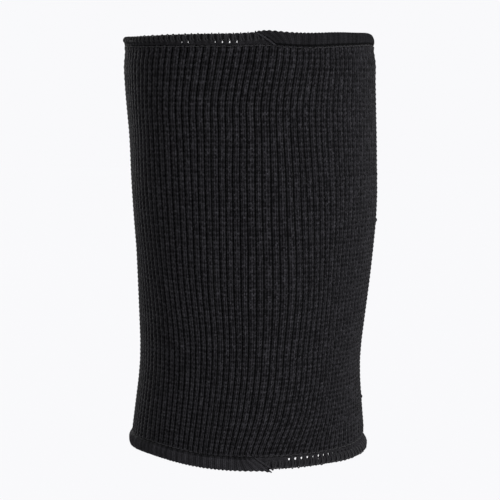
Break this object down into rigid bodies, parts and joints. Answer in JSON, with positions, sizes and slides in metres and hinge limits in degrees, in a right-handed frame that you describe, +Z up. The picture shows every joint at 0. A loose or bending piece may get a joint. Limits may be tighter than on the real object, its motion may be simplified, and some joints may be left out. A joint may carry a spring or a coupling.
{
  "type": "elbow pad",
  "caption": "Black ribbed elastic-knit elbow sleeve, open at both ends, with overlocked and rolled hems and a sewn-on foam pad over the elbow.",
  "frame": {"origin": "centre of the overall box at the height of the lower rim", "axes": "+Z up through the sleeve towards the upper arm, +Y towards the elbow tip where the pad is, -Y towards the crook of the arm, +X to the right seen from the crook side"},
  "size_m": [0.1103, 0.1278, 0.18],
  "materials": {
    "sleeve_knit": "matte rib knit",
    "hem_band": "matte fine knit",
    "hem_edge": "matte knit edge",
    "hem_lap": "matte fine knit",
    "overlock_thread": "soft spun thread",
    "stitch_thread": "soft spun thread",
    "soft_foam": "open cell foam",
    "firm_foam": "closed cell foam",
    "pad_cover": "matte woven cloth"
  },
  "bodies": {
    "forearm_end": {"knit_forearm": "sleeve_knit", "knit_elbow": "sleeve_knit", "lower_rolled_band": "hem_band", "lower_edge_strip": "hem_edge", "lower_overlock_thread": "overlock_thread", "lower_hem_stitch": "stitch_thread", "lower_hem_lap": "hem_lap", "lower_thread_tail": "stitch_thread", "pad_foam_inner": "soft_foam", "pad_foam_outer": "firm_foam", "pad_cover": "pad_cover", "pad_border_stitch": "stitch_thread"},
    "upper_arm_end": {"knit_upper": "sleeve_knit", "upper_rolled_band": "hem_band", "upper_edge_strip": "hem_edge", "upper_overlock_thread": "overlock_thread", "upper_hem_stitch": "stitch_thread", "upper_hem_lap": "hem_lap"}
  },
  "joints": [
    {"name": "elbow_flex", "type": "hinge", "parent": "forearm_end", "child": "upper_arm_end", "pos_m": [0, -0.0105, 0.097], "axis": [1, 0, 0], "range_deg": [0, 75], "stiffness_Nm_per_rad": 0.15, "deforming": ["knit_elbow", "pad_cover", "pad_foam_outer", "pad_foam_inner", "pad_border_stitch"]}
  ]
}
